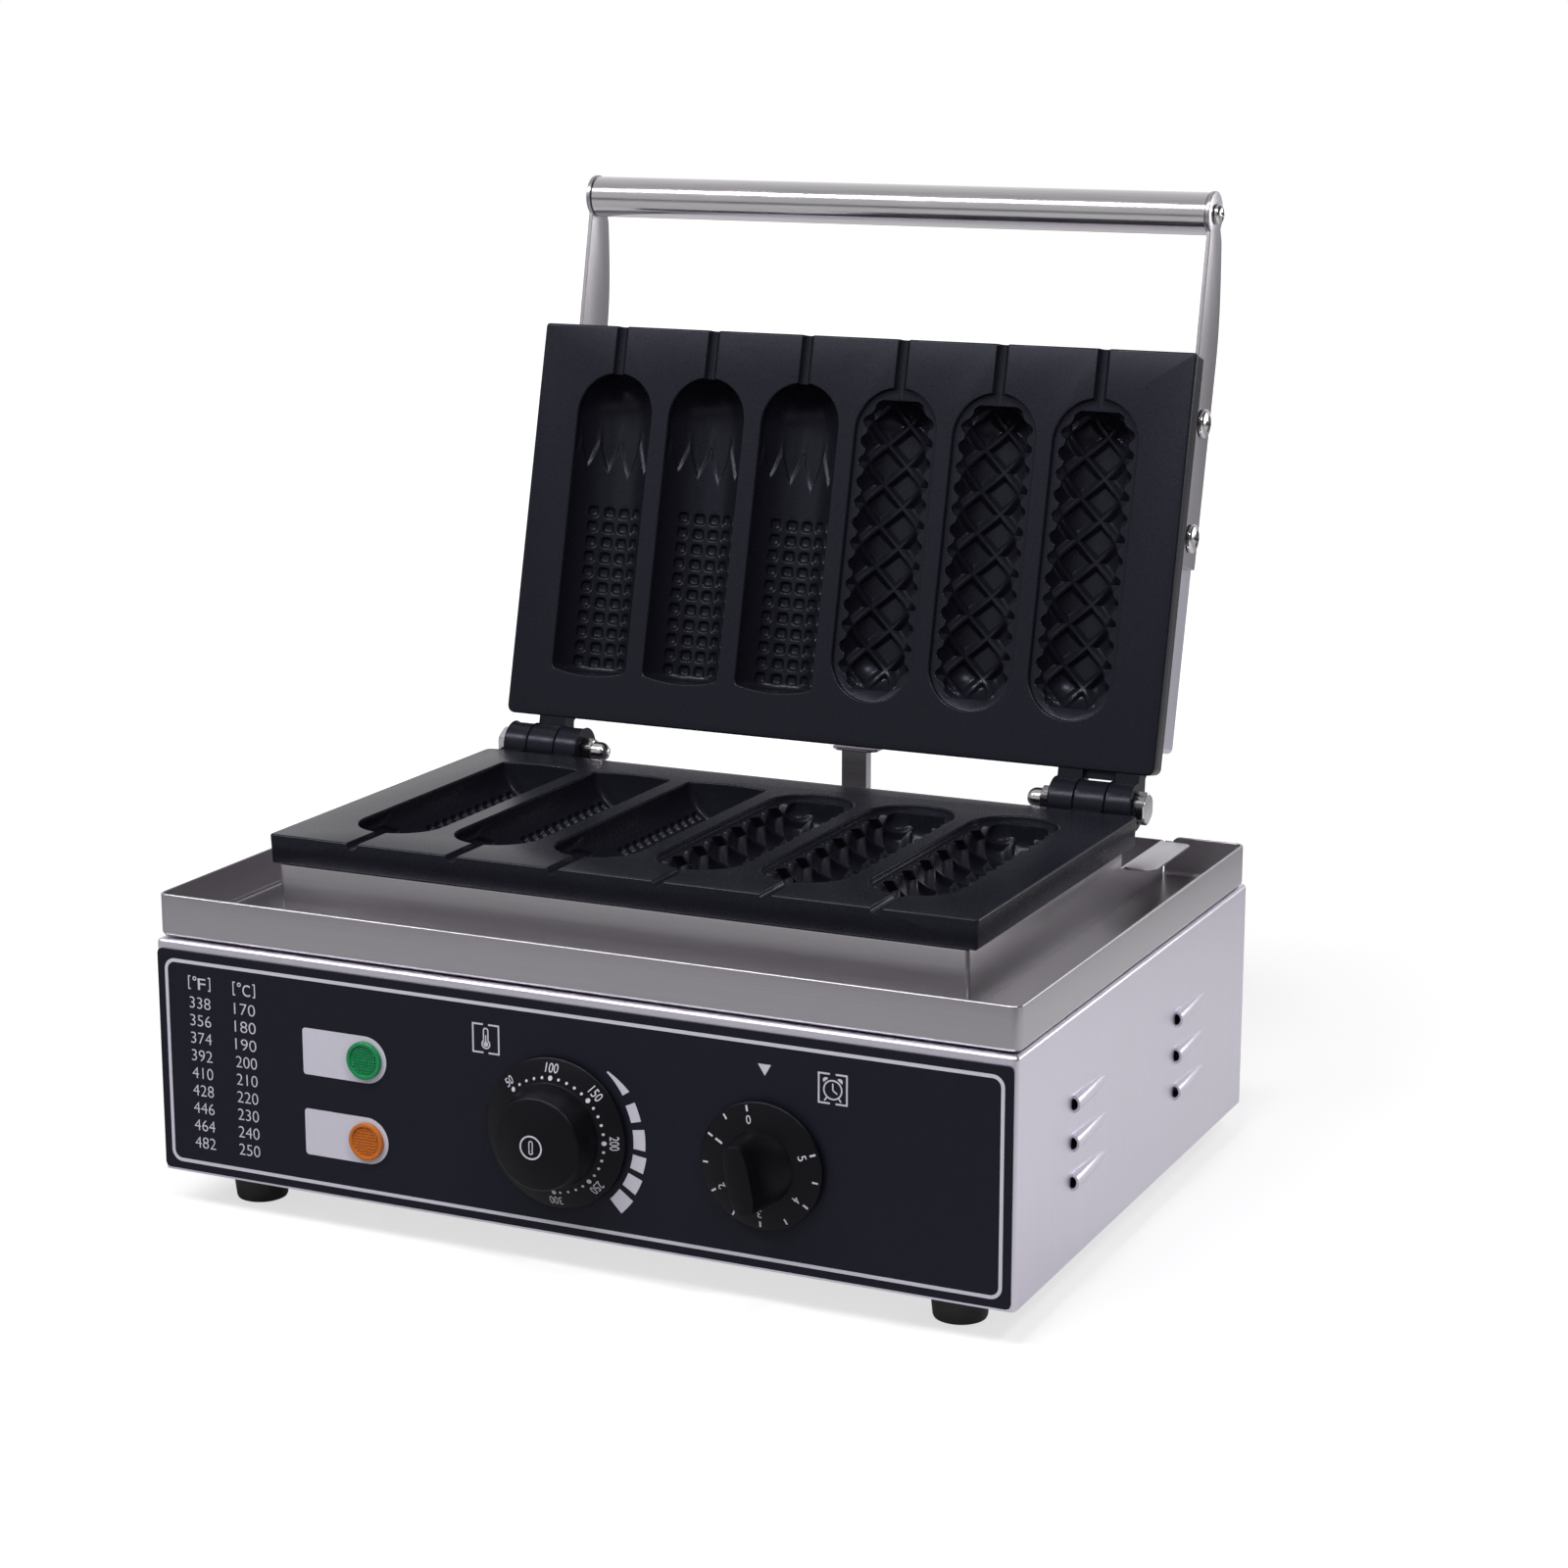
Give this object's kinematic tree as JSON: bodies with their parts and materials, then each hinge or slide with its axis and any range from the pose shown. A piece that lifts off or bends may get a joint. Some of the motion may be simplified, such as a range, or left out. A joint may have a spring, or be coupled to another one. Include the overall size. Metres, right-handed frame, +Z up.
{
  "type": "hot dog waffle maker",
  "caption": "Countertop waffle maker for sausages on sticks: hinged cast mould plates, drip tray, tube handle, thermostat and timer on a steel base.",
  "frame": {"origin": "bottom centre of the whole machine, on the surface that the feet stand on", "axes": "+Z up, +X to the right along the control panel, -Y out of the control panel"},
  "size_m": [0.392, 0.3601, 0.4164],
  "materials": {
    "bottom_steel": "mill finish",
    "bracket_steel": "satin",
    "bright_steel": "polished",
    "ceramic": "glazed",
    "copper": "drawn tube",
    "cover_steel": "brushed, satin",
    "foot_rubber": "matt moulded",
    "heater_sheath": "dull",
    "housing_steel": "brushed, satin",
    "knob_black": "satin moulded",
    "lamp_amber": "clear tinted lens",
    "lamp_green": "clear tinted lens",
    "overlay_black": "semi-gloss printed film",
    "plastic_black": "moulded",
    "plate_coating": "black non-stick coating on cast aluminium",
    "tray_steel": "brushed, satin"
  },
  "bodies": {
    "base": {"base_shell": "housing_steel", "bottom_cover": "bottom_steel", "cable_gland": "plastic_black", "drip_tray": "tray_steel", "foot_front_left": "foot_rubber", "foot_front_right": "foot_rubber", "foot_rear_left": "foot_rubber", "foot_rear_right": "foot_rubber", "foot_screw_front_left": "bright_steel", "foot_screw_front_right": "bright_steel", "foot_screw_rear_left": "bright_steel", "foot_screw_rear_right": "bright_steel", "front_overlay": "overlay_black", "heat_lamp_holder": "plastic_black", "heat_lamp_lens": "lamp_amber", "hinge_bolt_left": "bright_steel", "hinge_nut_left": "bright_steel", "lid_stop": "bracket_steel", "lower_heater": "heater_sheath", "lower_heater_clamp": "bracket_steel", "lower_plate": "plate_coating", "power_lamp_holder": "plastic_black", "power_lamp_lens": "lamp_green", "terminal_block": "ceramic", "thermostat_body": "bracket_steel", "thermostat_capillary": "copper", "timer_body": "bracket_steel"},
    "lid": {"arm_screw_left_1": "bright_steel", "arm_screw_left_2": "bright_steel", "arm_screw_right_1": "bright_steel", "arm_screw_right_2": "bright_steel", "cover_post_left": "bracket_steel", "cover_post_right": "bracket_steel", "cover_screw_left": "bright_steel", "cover_screw_right": "bright_steel", "handle_arm_left": "bracket_steel", "handle_arm_right": "bracket_steel", "handle_plug_left": "bracket_steel", "handle_plug_right": "bracket_steel", "handle_screw_left": "bright_steel", "handle_screw_right": "bright_steel", "handle_tube": "bright_steel", "hinge_bolt_right": "bright_steel", "hinge_nut_right": "bright_steel", "lid_cover": "cover_steel", "upper_heater": "heater_sheath", "upper_heater_clamp": "bracket_steel", "upper_plate": "plate_coating"},
    "temperature_control": {"temperature_knob": "knob_black", "thermostat_shaft": "bright_steel"},
    "timer_control": {"timer_knob": "knob_black", "timer_shaft": "bright_steel"}
  },
  "joints": [
    {"name": "lid", "type": "hinge", "parent": "base", "child": "lid", "pos_m": [0, 0.08238, 0.1563], "axis": [1, 0, 0], "range_deg": [0, 104]},
    {"name": "temperature_knob", "type": "hinge", "parent": "base", "child": "temperature_control", "pos_m": [-0.002, -0.15562, 0.0598], "axis": [0, 1, 0], "range_deg": [0, 300]},
    {"name": "timer_knob", "type": "hinge", "parent": "base", "child": "timer_control", "pos_m": [0.089, -0.15562, 0.0598], "axis": [0, 1, 0], "range_deg": [0, 285]}
  ]
}
